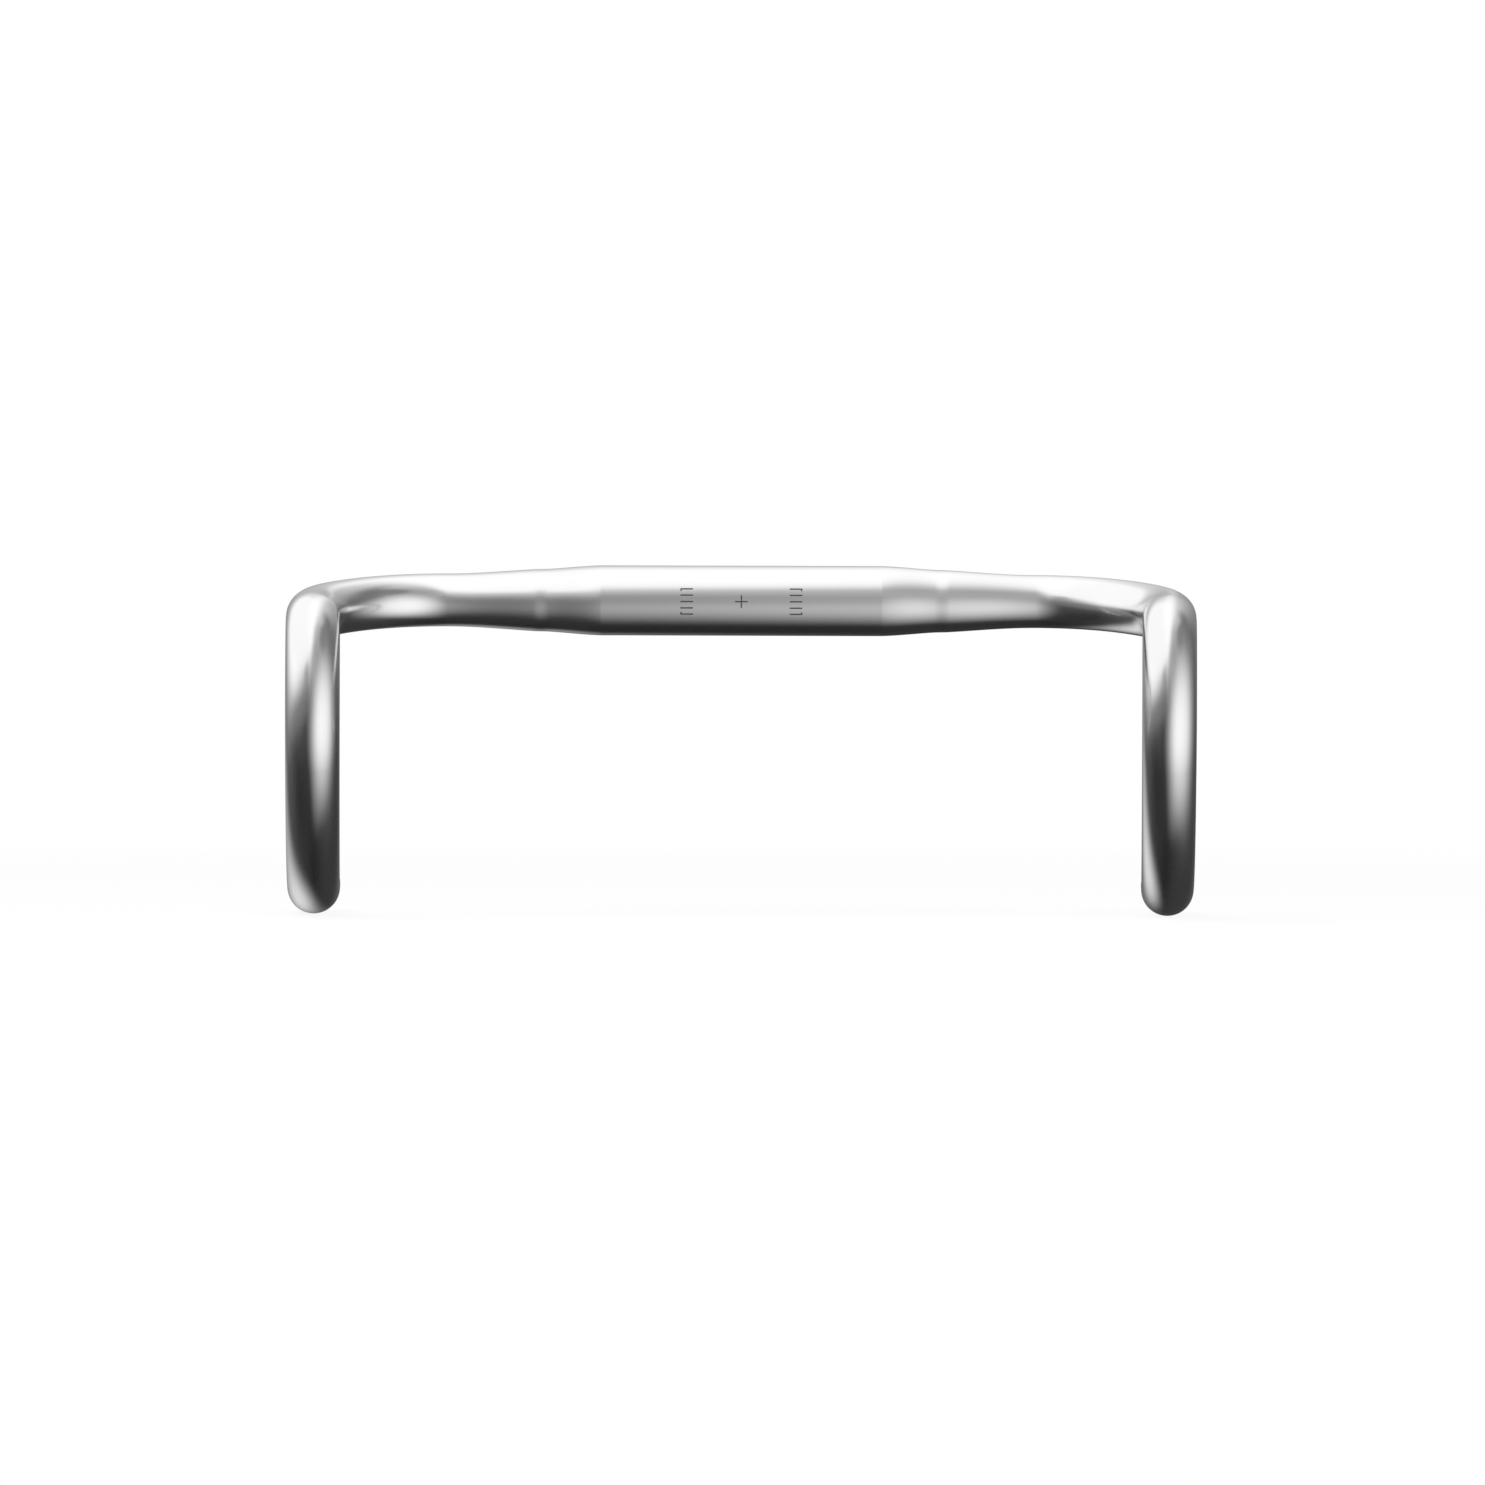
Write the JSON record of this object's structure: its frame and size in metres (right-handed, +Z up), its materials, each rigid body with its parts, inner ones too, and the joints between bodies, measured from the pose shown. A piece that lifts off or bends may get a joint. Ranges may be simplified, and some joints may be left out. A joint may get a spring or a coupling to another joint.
{
  "type": "drop handlebar",
  "caption": "Bare drop handlebar in satin aluminium: oversize clamp zone, tapered tops, rounded corners, compact hooks and short straight drops.",
  "frame": {"origin": "middle of the clamp zone, on its axis", "axes": "+X along the clamp zone to the right as seen from the front, -Y forward in the direction of the reach, +Z up"},
  "size_m": [0.4218, 0.1651, 0.1594],
  "materials": {
    "bar_aluminium": "satin",
    "mark_ink": "matt"
  },
  "bodies": {
    "root": {"clamp_section": "bar_aluminium", "right_inner_taper": "bar_aluminium", "right_neck": "bar_aluminium", "right_outer_taper": "bar_aluminium", "right_corner_bend": "bar_aluminium", "right_shoulder_bend": "bar_aluminium", "right_ramp_bend": "bar_aluminium", "right_ramp": "bar_aluminium", "right_knuckle_bend": "bar_aluminium", "right_hook_bend": "bar_aluminium", "right_lower_hook": "bar_aluminium", "right_drop_end": "bar_aluminium", "left_inner_taper": "bar_aluminium", "left_neck": "bar_aluminium", "left_outer_taper": "bar_aluminium", "left_corner_bend": "bar_aluminium", "left_shoulder_bend": "bar_aluminium", "left_ramp_bend": "bar_aluminium", "left_ramp": "bar_aluminium", "left_knuckle_bend": "bar_aluminium", "left_hook_bend": "bar_aluminium", "left_lower_hook": "bar_aluminium", "left_drop_end": "bar_aluminium", "centre_mark": "mark_ink", "left_angle_scale": "mark_ink", "right_angle_scale": "mark_ink"}
  },
  "joints": []
}
